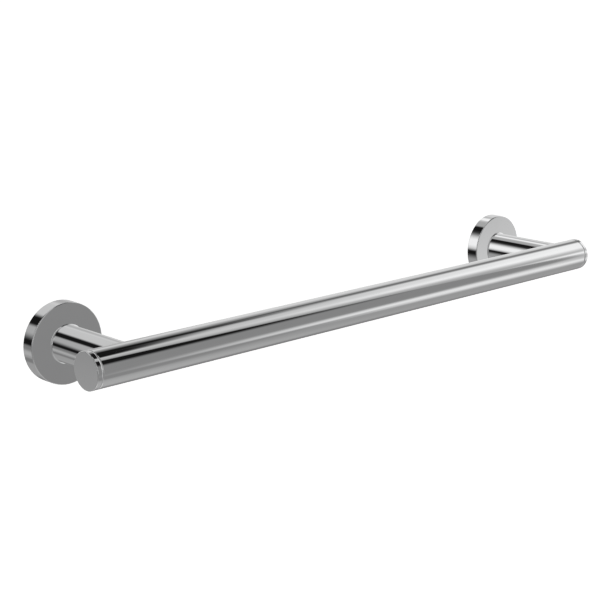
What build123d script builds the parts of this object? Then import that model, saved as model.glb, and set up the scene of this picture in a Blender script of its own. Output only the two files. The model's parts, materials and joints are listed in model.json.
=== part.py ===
from build123d import *
import os
from math import radians, sqrt, tan

# Wall-mounted grab bar: a chromed round tube carried by two cast posts, each with a round wall flange.
# Millimetres. X runs along the bar, Y goes into the wall and Z is up.
# The origin is on the wall plane, midway between the two flanges.

# Bar tube
BAR_DIAMETER = 25.0
BAR_WALL = 1.5
BAR_OVERHANG = 28.5  # post axis to the end of the bar, cap included
BAR_TO_WALL = 69.5  # bar axis to wall plane
SEAM_ROUND = 0.75  # edge round on both sides of the seam between tube and cap

# End caps and their sealing rings
CAP_RIM = 3.9  # end face to seam
CAP_FACE_WALL = 2.6
CAP_FACE_ROUND = 0.5
SPIGOT_LENGTH = 10.0
SPIGOT_WALL = 1.4  # under the groove
SPIGOT_CLEARANCE = 0.1
SPIGOT_LEAD_ROUND = 0.8
O_RING_SECTION = 1.8
O_RING_CLEARANCE = 0.05
O_RING_POSITION = 5.5  # seam to the middle of the groove
O_RING_GROOVE_PLAY = 0.5  # extra width of the groove

# Posts with their flanges
POST_SPACING = 437.0  # centre to centre
POST_DIAMETER = 25.0
POST_COVE = 1.0  # fillet between post and flange
POST_BORE_CLEARANCE = 1.0  # round the washer, at the bolt seat
POST_BORE_DRAFT = 0.5  # degrees
POST_END_WALL = 8.5  # bolt seat to the bar
SADDLE_CLEARANCE = 0.05
FLANGE_DIAMETER = 54.5
FLANGE_THICKNESS = 10.0
FLANGE_FACE_WALL = 3.0
FLANGE_RIM_WALL = 3.5
FLANGE_FRONT_ROUND = 0.6
FLANGE_BACK_ROUND = 0.4
POCKET_ROUND = 1.0

# Bolts, washers and saddle nuts that clamp the bar on the posts
BOLT_DIAMETER = 8.0
BOLT_HOLE_CLEARANCE = 0.5
BOLT_HEAD_DIAMETER = 13.0
BOLT_HEAD_HEIGHT = 8.0
BOLT_HEAD_ROUND = 0.6
BOLT_SOCKET = 6.0  # across flats
BOLT_SOCKET_DEPTH = 4.0
BOLT_END_CHAMFER = 0.8
WASHER_DIAMETER = 14.5
WASHER_THICKNESS = 2.0
WASHER_SPLIT = 0.8
WASHER_SPLIT_SLANT = 20.0  # degrees
NUT_LENGTH = 16.0
NUT_WIDTH = 18.0
NUT_THICKNESS = 8.0
NUT_CLEARANCE = 0.1
NUT_CHAMFER = 0.6
THREAD_CLEARANCE = 0.05

# Wall plates and the grub screws that lock the flanges on them
PLATE_RIM_CLEARANCE = 0.2
PLATE_FACE_CLEARANCE = 0.5
PLATE_EDGE_ROUND = 0.5
PLATE_GROOVE_DEPTH = 1.5
WALL_SCREW_SPACING = 30.0
WALL_SCREW_HOLE = 5.5
WALL_SCREW_HEAD = 10.5
GRUB_DIAMETER = 4.0
GRUB_RECESS = 0.3
GRUB_TIP_CLEARANCE = 0.1
GRUB_SOCKET = 2.0  # across flats
GRUB_SOCKET_DEPTH = 2.0

# Sizes that follow from the above
bar_radius = BAR_DIAMETER / 2
tube_bore_radius = bar_radius - BAR_WALL
tube_half_length = POST_SPACING / 2 + BAR_OVERHANG - CAP_RIM
spigot_radius = tube_bore_radius - SPIGOT_CLEARANCE
post_radius = POST_DIAMETER / 2
flange_radius = FLANGE_DIAMETER / 2
pocket_radius = flange_radius - FLANGE_RIM_WALL
pocket_depth = FLANGE_THICKNESS - FLANGE_FACE_WALL
saddle_to_wall = BAR_TO_WALL - bar_radius - SADDLE_CLEARANCE
seat_to_wall = saddle_to_wall - POST_END_WALL
bolt_radius = BOLT_DIAMETER / 2
bolt_hole_radius = bolt_radius + BOLT_HOLE_CLEARANCE / 2
bolt_length = WASHER_THICKNESS + POST_END_WALL + SADDLE_CLEARANCE + BAR_WALL + NUT_CLEARANCE + NUT_THICKNESS
plate_radius = pocket_radius - PLATE_RIM_CLEARANCE
plate_thickness = pocket_depth - PLATE_FACE_CLEARANCE
groove_radius = plate_radius - PLATE_GROOVE_DEPTH
grub_to_wall = plate_thickness / 2
hexagon_corner = 2 / sqrt(3)  # corner radius of a hexagon over half its width across flats
CUT_MARGIN = 1.0  # how far a cutting tool stands out of the face that it enters


def turned(points, rounds, axis):
    """Solid of revolution: a closed outline in the XY plane, with one corner radius for each point."""
    outline = FilletPolyline(*points, radius=rounds, close=True)
    return revolve(make_face(outline), axis)


def along_x(shape):
    return Rot(0, 90, 0) * shape


def along_y(shape):
    return Rot(-90, 0, 0) * shape


def hexagon_socket(across_flats, depth):
    """Cutting tool along Z, from its bottom at zero up to the depth and a margin beyond it."""
    corner_radius = across_flats / 2 * hexagon_corner
    return extrude(RegularPolygon(corner_radius, 6), depth + CUT_MARGIN)


def bar_tube():
    """Tube along X through the origin, with a rounded edge at each end and a bolt hole behind each post."""
    tube = turned(
        [
            (-tube_half_length, tube_bore_radius),
            (-tube_half_length, bar_radius),
            (tube_half_length, bar_radius),
            (tube_half_length, tube_bore_radius),
        ],
        [0, SEAM_ROUND, SEAM_ROUND, 0],
        Axis.X,
    )
    hole_length = bar_radius + CUT_MARGIN
    hole = along_y(Cylinder(bolt_hole_radius, hole_length, align=(Align.CENTER, Align.CENTER, Align.MIN)))
    for side in (-1, 1):
        tube -= Pos(side * POST_SPACING / 2, 0, 0) * hole
    return tube


def o_ring_groove():
    """Lowest and highest distance from the seam, and the radius of the groove's floor."""
    half_width = (O_RING_SECTION + O_RING_GROOVE_PLAY) / 2
    floor_radius = tube_bore_radius - O_RING_SECTION - 2 * O_RING_CLEARANCE
    return O_RING_POSITION - half_width, O_RING_POSITION + half_width, floor_radius


def end_cap():
    """Turned cap on the X axis: the seam is at zero, the end face outwards and the spigot inwards."""
    near, far, floor_radius = o_ring_groove()
    cup_floor = CAP_RIM - CAP_FACE_WALL
    cup_radius = floor_radius - SPIGOT_WALL
    return turned(
        [
            (CAP_RIM, 0),
            (CAP_RIM, bar_radius),
            (0, bar_radius),
            (0, spigot_radius),
            (-near, spigot_radius),
            (-near, floor_radius),
            (-far, floor_radius),
            (-far, spigot_radius),
            (-SPIGOT_LENGTH, spigot_radius),
            (-SPIGOT_LENGTH, cup_radius),
            (cup_floor, cup_radius),
            (cup_floor, 0),
        ],
        [0, CAP_FACE_ROUND, SEAM_ROUND, 0, 0, 0, 0, 0, SPIGOT_LEAD_ROUND, 0, 0, 0],
        Axis.X,
    )


def cap_o_ring():
    """Rubber ring in the groove of the cap's spigot."""
    section_radius = O_RING_SECTION / 2
    ring_radius = tube_bore_radius - O_RING_CLEARANCE - section_radius
    return Pos(-O_RING_POSITION, 0, 0) * along_x(Torus(ring_radius, section_radius))


def post():
    """Casting on the Y axis: hollow flange, cove, drafted bore and a front end coped to the bar."""
    seat_radius = WASHER_DIAMETER / 2 + POST_BORE_CLEARANCE
    mouth_radius = seat_radius + (seat_to_wall - pocket_depth) * tan(radians(POST_BORE_DRAFT))
    casting = turned(
        [
            (bolt_hole_radius, -BAR_TO_WALL),
            (post_radius, -BAR_TO_WALL),
            (post_radius, -FLANGE_THICKNESS),
            (flange_radius, -FLANGE_THICKNESS),
            (flange_radius, 0),
            (pocket_radius, 0),
            (pocket_radius, -pocket_depth),
            (mouth_radius, -pocket_depth),
            (seat_radius, -seat_to_wall),
            (bolt_hole_radius, -seat_to_wall),
        ],
        [0, 0, POST_COVE, FLANGE_FRONT_ROUND, FLANGE_BACK_ROUND, 0, POCKET_ROUND, POCKET_ROUND, 0, 0],
        Axis.Y,
    )
    bar_space = along_x(Cylinder(bar_radius + SADDLE_CLEARANCE, 2 * POST_DIAMETER))
    saddle = Pos(0, -BAR_TO_WALL, 0) * Rot(-90, 0, 0) * bar_space
    hole_length = FLANGE_RIM_WALL + 2 * CUT_MARGIN
    grub_hole = Cylinder(GRUB_DIAMETER / 2 + THREAD_CLEARANCE, hole_length)
    rim_middle = flange_radius - FLANGE_RIM_WALL / 2
    return casting - saddle - Pos(0, -grub_to_wall, -rim_middle) * grub_hole


def post_bolt():
    """Socket-head screw on the Y axis, its head towards the wall and its end in the saddle nut."""
    head_seat = -seat_to_wall + WASHER_THICKNESS
    head_top = head_seat + BOLT_HEAD_HEIGHT
    screw_end = head_seat - bolt_length
    screw = turned(
        [
            (0, screw_end),
            (bolt_radius - BOLT_END_CHAMFER, screw_end),
            (bolt_radius, screw_end + BOLT_END_CHAMFER),
            (bolt_radius, head_seat),
            (BOLT_HEAD_DIAMETER / 2, head_seat),
            (BOLT_HEAD_DIAMETER / 2, head_top),
            (0, head_top),
        ],
        [0, 0, 0, 0, 0, BOLT_HEAD_ROUND, 0],
        Axis.Y,
    )
    socket = along_y(hexagon_socket(BOLT_SOCKET, BOLT_SOCKET_DEPTH))
    return screw - Pos(0, head_top - BOLT_SOCKET_DEPTH, 0) * socket


def bolt_washer():
    """Split spring washer between the bolt's head and its seat in the post."""
    outer_radius = WASHER_DIAMETER / 2
    from_seat = (Align.CENTER, Align.CENTER, Align.MIN)
    ring = Cylinder(outer_radius, WASHER_THICKNESS, align=from_seat)
    ring -= Cylinder(bolt_hole_radius, WASHER_THICKNESS, align=from_seat)
    slot = Box(WASHER_SPLIT, WASHER_DIAMETER, WASHER_DIAMETER, align=(Align.CENTER, Align.MIN, Align.CENTER))
    ring -= Rot(0, WASHER_SPLIT_SLANT, 0) * slot
    return Pos(0, -seat_to_wall, 0) * along_y(ring)


def saddle_nut():
    """Threaded block inside the tube, with one round side that bears on the tube's wall."""
    nut_radius = tube_bore_radius - NUT_CLEARANCE
    block = Box(NUT_LENGTH, NUT_THICKNESS, NUT_WIDTH, align=(Align.CENTER, Align.MAX, Align.CENTER))
    block = chamfer(block.edges().filter_by(Axis.Y), NUT_CHAMFER)
    nut = Pos(0, nut_radius, 0) * block & along_x(Cylinder(nut_radius, 2 * NUT_LENGTH))
    nut -= along_y(Cylinder(bolt_radius + THREAD_CLEARANCE, 2 * BAR_DIAMETER))
    return Pos(0, -BAR_TO_WALL, 0) * nut


def wall_plate():
    """Round plate on the Y axis, with a V groove in its rim and two countersunk screw holes."""
    plate = turned(
        [
            (0, -plate_thickness),
            (plate_radius, -plate_thickness),
            (plate_radius, -grub_to_wall - PLATE_GROOVE_DEPTH),
            (groove_radius, -grub_to_wall),
            (plate_radius, -grub_to_wall + PLATE_GROOVE_DEPTH),
            (plate_radius, 0),
            (0, 0),
        ],
        [0, PLATE_EDGE_ROUND, 0, 0, 0, 0, 0],
        Axis.Y,
    )
    hole_radius = WALL_SCREW_HOLE / 2
    head_radius = WALL_SCREW_HEAD / 2
    sink_depth = head_radius - hole_radius
    screw_hole = turned(
        [
            (0, -plate_thickness - CUT_MARGIN),
            (head_radius + CUT_MARGIN, -plate_thickness - CUT_MARGIN),
            (hole_radius, -plate_thickness + sink_depth),
            (hole_radius, CUT_MARGIN),
            (0, CUT_MARGIN),
        ],
        [0, 0, 0, 0, 0],
        Axis.Y,
    )
    for side in (-1, 1):
        plate -= Pos(0, 0, side * WALL_SCREW_SPACING / 2) * screw_hole
    return plate


def grub_screw():
    """Set screw that enters the rim from below, with its cone point in the wall plate's groove."""
    screw_radius = GRUB_DIAMETER / 2
    tip = -groove_radius - GRUB_TIP_CLEARANCE
    outer_end = -flange_radius + GRUB_RECESS
    screw = turned(
        [
            (0, outer_end),
            (screw_radius, outer_end),
            (screw_radius, tip - screw_radius),
            (0, tip),
        ],
        [0, 0, 0, 0],
        Axis.Y,
    )
    upright = Rot(90, 0, 0) * screw
    socket = Rot(180, 0, 0) * hexagon_socket(GRUB_SOCKET, GRUB_SOCKET_DEPTH)
    return Pos(0, -grub_to_wall, 0) * (upright - Pos(0, 0, outer_end + GRUB_SOCKET_DEPTH) * socket)


# Both ends have the same pieces: those on a post are moved to it, and those on a bar end are turned round
post_pieces = {
    "post": post(),
    "post_bolt": post_bolt(),
    "bolt_washer": bolt_washer(),
    "saddle_nut": saddle_nut(),
    "wall_plate": wall_plate(),
    "grub_screw": grub_screw(),
}
end_pieces = {
    "end_cap": end_cap(),
    "cap_o_ring": cap_o_ring(),
}

nodes = {"bar_tube": Pos(0, -BAR_TO_WALL, 0) * bar_tube()}
for side, sign, turn in (("left", -1, 180), ("right", 1, 0)):
    post_axis = Pos(sign * POST_SPACING / 2, 0, 0)
    bar_end = Pos(sign * tube_half_length, -BAR_TO_WALL, 0) * Rot(0, 0, turn)
    for name, piece in post_pieces.items():
        nodes[f"{side}_{name}"] = post_axis * piece
    for name, piece in end_pieces.items():
        nodes[f"{side}_{name}"] = bar_end * piece

os.makedirs("parts", exist_ok=True)
for name, piece in nodes.items():
    export_step(piece, f"parts/{name}.step")
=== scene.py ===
import json
import math

import bpy
from mathutils import Matrix, Vector


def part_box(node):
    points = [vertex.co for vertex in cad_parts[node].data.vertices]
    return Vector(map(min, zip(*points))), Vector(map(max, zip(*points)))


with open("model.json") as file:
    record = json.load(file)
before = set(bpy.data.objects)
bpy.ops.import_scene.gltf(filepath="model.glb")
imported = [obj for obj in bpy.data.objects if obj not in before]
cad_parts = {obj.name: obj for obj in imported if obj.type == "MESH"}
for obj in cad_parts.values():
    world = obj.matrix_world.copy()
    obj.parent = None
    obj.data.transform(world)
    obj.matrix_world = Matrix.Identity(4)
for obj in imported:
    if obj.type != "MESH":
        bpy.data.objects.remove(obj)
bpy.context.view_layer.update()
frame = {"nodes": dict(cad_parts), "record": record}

# Camera, in metres and degrees: it looks along the bar from its left end, a little from above.
# The aim is counted from the middle of the bar's axis, to the picture's left and down.
IMAGE_PIXELS = 616
FOCAL_PIXELS = 1473.7
SENSOR_WIDTH = 36.0
CAMERA_AZIMUTH = -43.98
CAMERA_ELEVATION = 14.11
CAMERA_ROLL = 0.07
CAMERA_DISTANCE = 1.0549
AIM_LEFT = 0.0438
AIM_DOWN = 0.0033

# Floor: its drop below the bar's axis and half its width are in metres
FLOOR_DROP = 1.6
FLOOR_HALF_WIDTH = 60.0
FLOOR_COLOUR = 0.8
FLOOR_ROUGHNESS = 0.9
FLOOR_LIFT = 0.75  # added for the camera alone, so that the pale floor reads as white

# Finishes: scales of the noise per metre, how much finer it is along each axis, and bump depths in metres
CHROME_HAZE = 35.0
CHROME_HAIRLINES = 900.0
POLISHED_ALONG_BAR = (0.05, 1.0, 1.0)
POLISHED_ALONG_POST = (1.0, 0.1, 1.0)
POLISHED_EVENLY = (1.0, 1.0, 1.0)
ZINC_MOTTLE = 320.0
ZINC_GRAIN = 1500.0
STEEL_MARKS = 1200.0
TURNED_ROUND_SCREW = (1.0, 6.0, 1.0)
RUBBER_BLOOM = 500.0
FINE_BUMP = 0.0001
COARSE_BUMP = 0.0002
NOISE_MIDDLE_HALF = (0.25, 0.75)

# The studio as the chrome sees it: level of the walls and the floor where no panel stands
WALL_LEVEL = 0.7
GROUND_LEVEL = 0.4
HORIZON = -12.0
HORIZON_SOFTNESS = 2.5

# Tones of the panels
BLACK = 0.01
SHADE = 0.25
GREY = 0.3
MIDDLE = 0.5
PALE = 0.8
LIGHT = 1.0
BRIGHT = 1.15

# Soft panels of the studio, each laid over those before it. Longitude is counted from +X towards +Y and
# latitude from the horizon, in degrees. A panel has the ramps of its west and east edges, where each
# begins and ends, then those of its low and high edges, then its tone.
PANELS = {
    "rear_wall": ((-190, -185, -90, -80), (-40, -30, 60, 70), GREY),
    "rear_corner": ((150, 155, 185, 190), (-40, -30, 60, 70), GREY),
    "rear_strip": ((-175, -170, -160, -155), (-5, 0, 40, 50), LIGHT),
    "rear_flag": ((150, 160, 170, 180), (5, 10, 40, 50), BLACK),
    "floor_far": ((-200, -190, 190, 200), (-100, -95, -55, -40), MIDDLE),
    "back_light": ((25, 35, 60, 70), (-20, -10, 25, 35), PALE),
    "back_dim": ((50, 55, 60, 65), (-15, -5, 15, 30), MIDDLE),
    "key_softbox": ((-38, -36, 15, 25), (-10, 0, 35, 50), BRIGHT),
    "key_west": ((-40, -38, -36, -20), (10, 20, 50, 60), MIDDLE),
    "key_edge": ((5, 20, 22, 35), (20, 30, 60, 70), SHADE),
    "back_shade": ((20, 25, 60, 70), (25, 55, 60, 70), BLACK),
    "ceiling": ((-25, -15, 40, 50), (50, 55, 95, 100), BLACK),
    "ceiling_corner": ((-5, 20, 35, 45), (45, 50, 95, 100), BLACK),
    "front_wall": ((-80, -75, -38, -36), (-10, 0, 25, 30), GREY),
    "front_base": ((-80, -70, -45, -30), (-45, -40, -5, 5), GREY),
    "front_flag": ((-85, -65, -40, -35), (20, 30, 70, 80), BLACK),
    "floor_glow": ((-55, -40, -38, -32), (-30, -20, -18, -5), LIGHT),
    "floor_glow_far": ((-40, -35, -30, -10), (-35, -22, -20, -10), LIGHT),
    "floor_shade": ((10, 30, 45, 55), (-55, -40, -25, -15), SHADE),
    "post_shade": ((50, 60, 65, 80), (-40, -35, -20, -15), SHADE),
    "back_softbox": ((45, 55, 60, 70), (30, 40, 50, 60), BRIGHT),
    "back_high": ((65, 75, 105, 110), (45, 50, 95, 100), MIDDLE),
    "back_flag": ((95, 105, 120, 125), (15, 25, 55, 60), BLACK),
    "left_softbox": ((125, 135, 145, 150), (-5, 10, 60, 70), BRIGHT),
    "left_flag": ((120, 122, 180, 185), (20, 45, 95, 100), BLACK),
    "left_grey": ((115, 120, 125, 130), (-10, -5, 25, 35), MIDDLE),
    "left_base": ((100, 110, 130, 135), (-18, -12, -5, -3), SHADE),
    "left_dark_near": ((120, 125, 130, 132), (-10, -5, 0, 15), BLACK),
    "left_dark_far": ((130, 135, 145, 150), (-35, -15, -10, 0), BLACK),
    "left_glint": ((115, 120, 122, 125), (-25, -22, -20, -15), MIDDLE),
    "left_low_shade": ((105, 110, 115, 120), (-35, -30, -28, -25), SHADE),
    "front_strip": ((-95, -90, -80, -75), (-10, -5, 30, 40), LIGHT),
    "floor_light": ((-70, -55, 40, 55), (-80, -75, -65, -60), BRIGHT),
}


def new_material(name):
    """Empty node material: its node tree and its Principled shader."""
    material = bpy.data.materials.new(name)
    material.use_nodes = True
    tree = material.node_tree
    return material, tree, tree.nodes["Principled BSDF"]


def add_node(tree, kind, **settings):
    """New node, with its own settings by name."""
    node = tree.nodes.new(kind)
    for name, value in settings.items():
        setattr(node, name, value)
    return node


def socket(sockets, identifier):
    """The one socket with this identifier, where several share a name."""
    return next(s for s in sockets if s.identifier == identifier)


def noise_field(tree, scale, detail=4.0, fineness=(1.0, 1.0, 1.0)):
    """Noise in object space, in metres, finer or coarser along each axis: its value socket."""
    coordinates = add_node(tree, "ShaderNodeTexCoord")
    mapping = add_node(tree, "ShaderNodeMapping")
    mapping.inputs["Scale"].default_value = fineness
    noise = add_node(tree, "ShaderNodeTexNoise")
    noise.inputs["Scale"].default_value = scale
    noise.inputs["Detail"].default_value = detail
    tree.links.new(coordinates.outputs["Object"], mapping.inputs["Vector"])
    tree.links.new(mapping.outputs["Vector"], noise.inputs["Vector"])
    return noise.outputs["Fac"]


def spread(tree, source, low, high):
    """Maps the middle half of a noise value to the range from low to high."""
    ranged = add_node(tree, "ShaderNodeMapRange")
    ranged.inputs["From Min"].default_value = NOISE_MIDDLE_HALF[0]
    ranged.inputs["From Max"].default_value = NOISE_MIDDLE_HALF[1]
    ranged.inputs["To Min"].default_value = low
    ranged.inputs["To Max"].default_value = high
    tree.links.new(source, ranged.inputs["Value"])
    return ranged.outputs["Result"]


def grey_variation(tree, source, dark, light):
    """Colour between two tones by a noise value."""
    ramp = add_node(tree, "ShaderNodeMix", data_type="RGBA")
    socket(ramp.inputs, "A_Color").default_value = (*dark, 1.0)
    socket(ramp.inputs, "B_Color").default_value = (*light, 1.0)
    tree.links.new(spread(tree, source, 0.0, 1.0), socket(ramp.inputs, "Factor_Float"))
    return socket(ramp.outputs, "Result_Color")


def add_bump(tree, shader, source, strength, distance):
    """Bumps the shader's surface by a noise value."""
    bump = add_node(tree, "ShaderNodeBump")
    bump.inputs["Strength"].default_value = strength
    bump.inputs["Distance"].default_value = distance
    tree.links.new(source, bump.inputs["Height"])
    tree.links.new(bump.outputs["Normal"], shader.inputs["Normal"])


def chrome_material(name, polish_fineness):
    """Bright chrome plate: a faint haze, and hairlines along the way the metal was polished."""
    material, tree, shader = new_material(name)
    shader.inputs["Metallic"].default_value = 1.0
    haze = noise_field(tree, CHROME_HAZE)
    plate = grey_variation(tree, haze, (0.735, 0.738, 0.742), (0.762, 0.764, 0.767))
    tree.links.new(plate, shader.inputs["Base Color"])
    hairlines = noise_field(tree, CHROME_HAIRLINES, detail=2.0, fineness=polish_fineness)
    tree.links.new(spread(tree, hairlines, low=0.02, high=0.05), shader.inputs["Roughness"])
    add_bump(tree, shader, hairlines, strength=0.006, distance=FINE_BUMP)
    return material


def zinc_material(name):
    """Zinc-plated steel with a fine crystalline mottle."""
    material, tree, shader = new_material(name)
    shader.inputs["Metallic"].default_value = 1.0
    mottle = noise_field(tree, ZINC_MOTTLE, detail=6.0)
    plate = grey_variation(tree, mottle, (0.50, 0.52, 0.55), (0.68, 0.69, 0.70))
    tree.links.new(plate, shader.inputs["Base Color"])
    tree.links.new(spread(tree, mottle, low=0.28, high=0.48), shader.inputs["Roughness"])
    add_bump(tree, shader, noise_field(tree, ZINC_GRAIN), strength=0.15, distance=COARSE_BUMP)
    return material


def steel_material(name):
    """Turned stainless steel, with tool marks across the axis of the screws."""
    material, tree, shader = new_material(name)
    shader.inputs["Metallic"].default_value = 1.0
    marks = noise_field(tree, STEEL_MARKS, detail=3.0, fineness=TURNED_ROUND_SCREW)
    turned = grey_variation(tree, marks, (0.48, 0.48, 0.47), (0.62, 0.62, 0.61))
    tree.links.new(turned, shader.inputs["Base Color"])
    tree.links.new(spread(tree, marks, low=0.2, high=0.36), shader.inputs["Roughness"])
    add_bump(tree, shader, marks, strength=0.1, distance=FINE_BUMP)
    return material


def rubber_material(name):
    """Black moulded rubber with a dusty bloom."""
    material, tree, shader = new_material(name)
    bloom = noise_field(tree, RUBBER_BLOOM, detail=5.0)
    skin = grey_variation(tree, bloom, (0.012, 0.012, 0.013), (0.03, 0.03, 0.03))
    tree.links.new(skin, shader.inputs["Base Color"])
    tree.links.new(spread(tree, bloom, low=0.55, high=0.8), shader.inputs["Roughness"])
    add_bump(tree, shader, bloom, strength=0.2, distance=COARSE_BUMP)
    return material


def dress_nodes():
    """Gives every node the material of its slot. The pieces mirror the studio and not each other."""
    finishes = {
        "bar_chrome": chrome_material("bar_chrome", POLISHED_ALONG_BAR),
        "cap_chrome": chrome_material("cap_chrome", POLISHED_EVENLY),
        "post_chrome": chrome_material("post_chrome", POLISHED_ALONG_POST),
        "plate_zinc": zinc_material("plate_zinc"),
        "fastener_steel": steel_material("fastener_steel"),
        "seal_rubber": rubber_material("seal_rubber"),
    }
    for entry in frame["record"]["subparts"]:
        node = frame["nodes"][entry["node"]]
        node.data.materials.clear()
        node.data.materials.append(finishes[entry["material_slot"]])
        node.visible_glossy = False


def soft_window(tree, where, sides, heights):
    """One inside a panel, falling softly to zero across the ramps of its four edges."""
    edges = []
    for first, before, after in ((0, 0.0, 1.0), (2, 1.0, 0.0)):
        edge = add_node(tree, "ShaderNodeMapRange", data_type="FLOAT_VECTOR")
        edge.interpolation_type = "SMOOTHSTEP"
        begin = (math.radians(sides[first]), math.radians(heights[first]), 0.0)
        end = (math.radians(sides[first + 1]), math.radians(heights[first + 1]), 1.0)
        socket(edge.inputs, "From_Min_FLOAT3").default_value = begin
        socket(edge.inputs, "From_Max_FLOAT3").default_value = end
        socket(edge.inputs, "To_Min_FLOAT3").default_value = (before,) * 3
        socket(edge.inputs, "To_Max_FLOAT3").default_value = (after,) * 3
        tree.links.new(where, edge.inputs["Vector"])
        edges.append(edge.outputs["Vector"])
    both = add_node(tree, "ShaderNodeVectorMath", operation="MULTIPLY")
    tree.links.new(edges[0], both.inputs[0])
    tree.links.new(edges[1], both.inputs[1])
    parts = add_node(tree, "ShaderNodeSeparateXYZ")
    tree.links.new(both.outputs["Vector"], parts.inputs["Vector"])
    mask = add_node(tree, "ShaderNodeMath", operation="MULTIPLY")
    tree.links.new(parts.outputs["X"], mask.inputs[0])
    tree.links.new(parts.outputs["Y"], mask.inputs[1])
    return mask.outputs["Value"]


def studio_level(tree):
    """Brightness of the studio in each direction, from the walls, the floor and the panels."""
    direction = add_node(tree, "ShaderNodeTexCoord")
    parts = add_node(tree, "ShaderNodeSeparateXYZ")
    tree.links.new(direction.outputs["Generated"], parts.inputs["Vector"])
    longitude = add_node(tree, "ShaderNodeMath", operation="ARCTAN2")
    tree.links.new(parts.outputs["Y"], longitude.inputs[0])
    tree.links.new(parts.outputs["X"], longitude.inputs[1])
    latitude = add_node(tree, "ShaderNodeMath", operation="ARCSINE")
    tree.links.new(parts.outputs["Z"], latitude.inputs[0])
    place = add_node(tree, "ShaderNodeCombineXYZ")
    tree.links.new(longitude.outputs["Value"], place.inputs["X"])
    tree.links.new(latitude.outputs["Value"], place.inputs["Y"])

    horizon = add_node(tree, "ShaderNodeMapRange", interpolation_type="SMOOTHSTEP")
    horizon.inputs["From Min"].default_value = math.radians(HORIZON - HORIZON_SOFTNESS)
    horizon.inputs["From Max"].default_value = math.radians(HORIZON + HORIZON_SOFTNESS)
    horizon.inputs["To Min"].default_value = GROUND_LEVEL
    horizon.inputs["To Max"].default_value = WALL_LEVEL
    tree.links.new(latitude.outputs["Value"], horizon.inputs["Value"])
    level = horizon.outputs["Result"]
    for name, (sides, heights, brightness) in PANELS.items():
        mask = soft_window(tree, place.outputs["Vector"], sides, heights)
        layer = add_node(tree, "ShaderNodeMix", data_type="FLOAT", label=name)
        tree.links.new(mask, socket(layer.inputs, "Factor_Float"))
        tree.links.new(level, socket(layer.inputs, "A_Float"))
        socket(layer.inputs, "B_Float").default_value = brightness
        level = socket(layer.outputs, "Result_Float")
    return level


def make_world():
    """White to the camera, and the studio to everything else."""
    world = bpy.data.worlds.new("studio")
    bpy.context.scene.world = world
    world.use_nodes = True
    tree = world.node_tree
    studio = tree.nodes["Background"]
    tree.links.new(studio_level(tree), studio.inputs["Color"])
    backdrop = add_node(tree, "ShaderNodeBackground")
    backdrop.inputs["Color"].default_value = (1.0, 1.0, 1.0, 1.0)
    path = add_node(tree, "ShaderNodeLightPath")
    choice = add_node(tree, "ShaderNodeMixShader")
    tree.links.new(path.outputs["Is Camera Ray"], choice.inputs["Fac"])
    tree.links.new(studio.outputs["Background"], choice.inputs[1])
    tree.links.new(backdrop.outputs["Background"], choice.inputs[2])
    tree.links.new(choice.outputs["Shader"], tree.nodes["World Output"].inputs["Surface"])


def make_floor():
    """Pale floor well below the bar, as under a bar fixed to a wall."""
    half = FLOOR_HALF_WIDTH
    mesh = bpy.data.meshes.new("floor")
    outline = ((-half, -half), (half, -half), (half, half), (-half, half))
    mesh.from_pydata([(x, y, -FLOOR_DROP) for x, y in outline], [], [(0, 1, 2, 3)])
    floor = bpy.data.objects.new("floor", mesh)
    bpy.context.scene.collection.objects.link(floor)
    material, tree, shader = new_material("floor")
    shader.inputs["Base Color"].default_value = (FLOOR_COLOUR, FLOOR_COLOUR, FLOOR_COLOUR, 1.0)
    shader.inputs["Roughness"].default_value = FLOOR_ROUGHNESS
    shader.inputs["Emission Color"].default_value = (1.0, 1.0, 1.0, 1.0)
    path = add_node(tree, "ShaderNodeLightPath")
    lift = add_node(tree, "ShaderNodeMath", operation="MULTIPLY")
    lift.inputs[1].default_value = FLOOR_LIFT
    tree.links.new(path.outputs["Is Camera Ray"], lift.inputs[0])
    tree.links.new(lift.outputs["Value"], shader.inputs["Emission Strength"])
    mesh.materials.append(material)
    floor.visible_glossy = False


def make_camera():
    """Camera at the photograph's viewing angle."""
    azimuth = math.radians(CAMERA_AZIMUTH)
    elevation = math.radians(CAMERA_ELEVATION)
    back = Vector(
        (
            math.sin(azimuth) * math.cos(elevation),
            -math.cos(azimuth) * math.cos(elevation),
            math.sin(elevation),
        )
    )
    level_right = (-back).cross(Vector((0, 0, 1))).normalized()
    turn = Matrix.Rotation(math.radians(-CAMERA_ROLL), 3, -back)
    right = turn @ level_right
    up = right.cross(-back)
    low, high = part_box("bar_tube")
    place = (low + high) / 2 - right * AIM_LEFT - up * AIM_DOWN + back * CAMERA_DISTANCE
    data = bpy.data.cameras.new("camera")
    data.sensor_width = SENSOR_WIDTH
    data.lens = SENSOR_WIDTH * FOCAL_PIXELS / IMAGE_PIXELS
    camera = bpy.data.objects.new("camera", data)
    bpy.context.scene.collection.objects.link(camera)
    rotation = Matrix((right, up, back)).transposed()
    camera.matrix_world = Matrix.Translation(place) @ rotation.to_4x4()
    bpy.context.scene.camera = camera


dress_nodes()
make_world()
make_floor()
make_camera()
bpy.context.scene.view_settings.view_transform = "Standard"
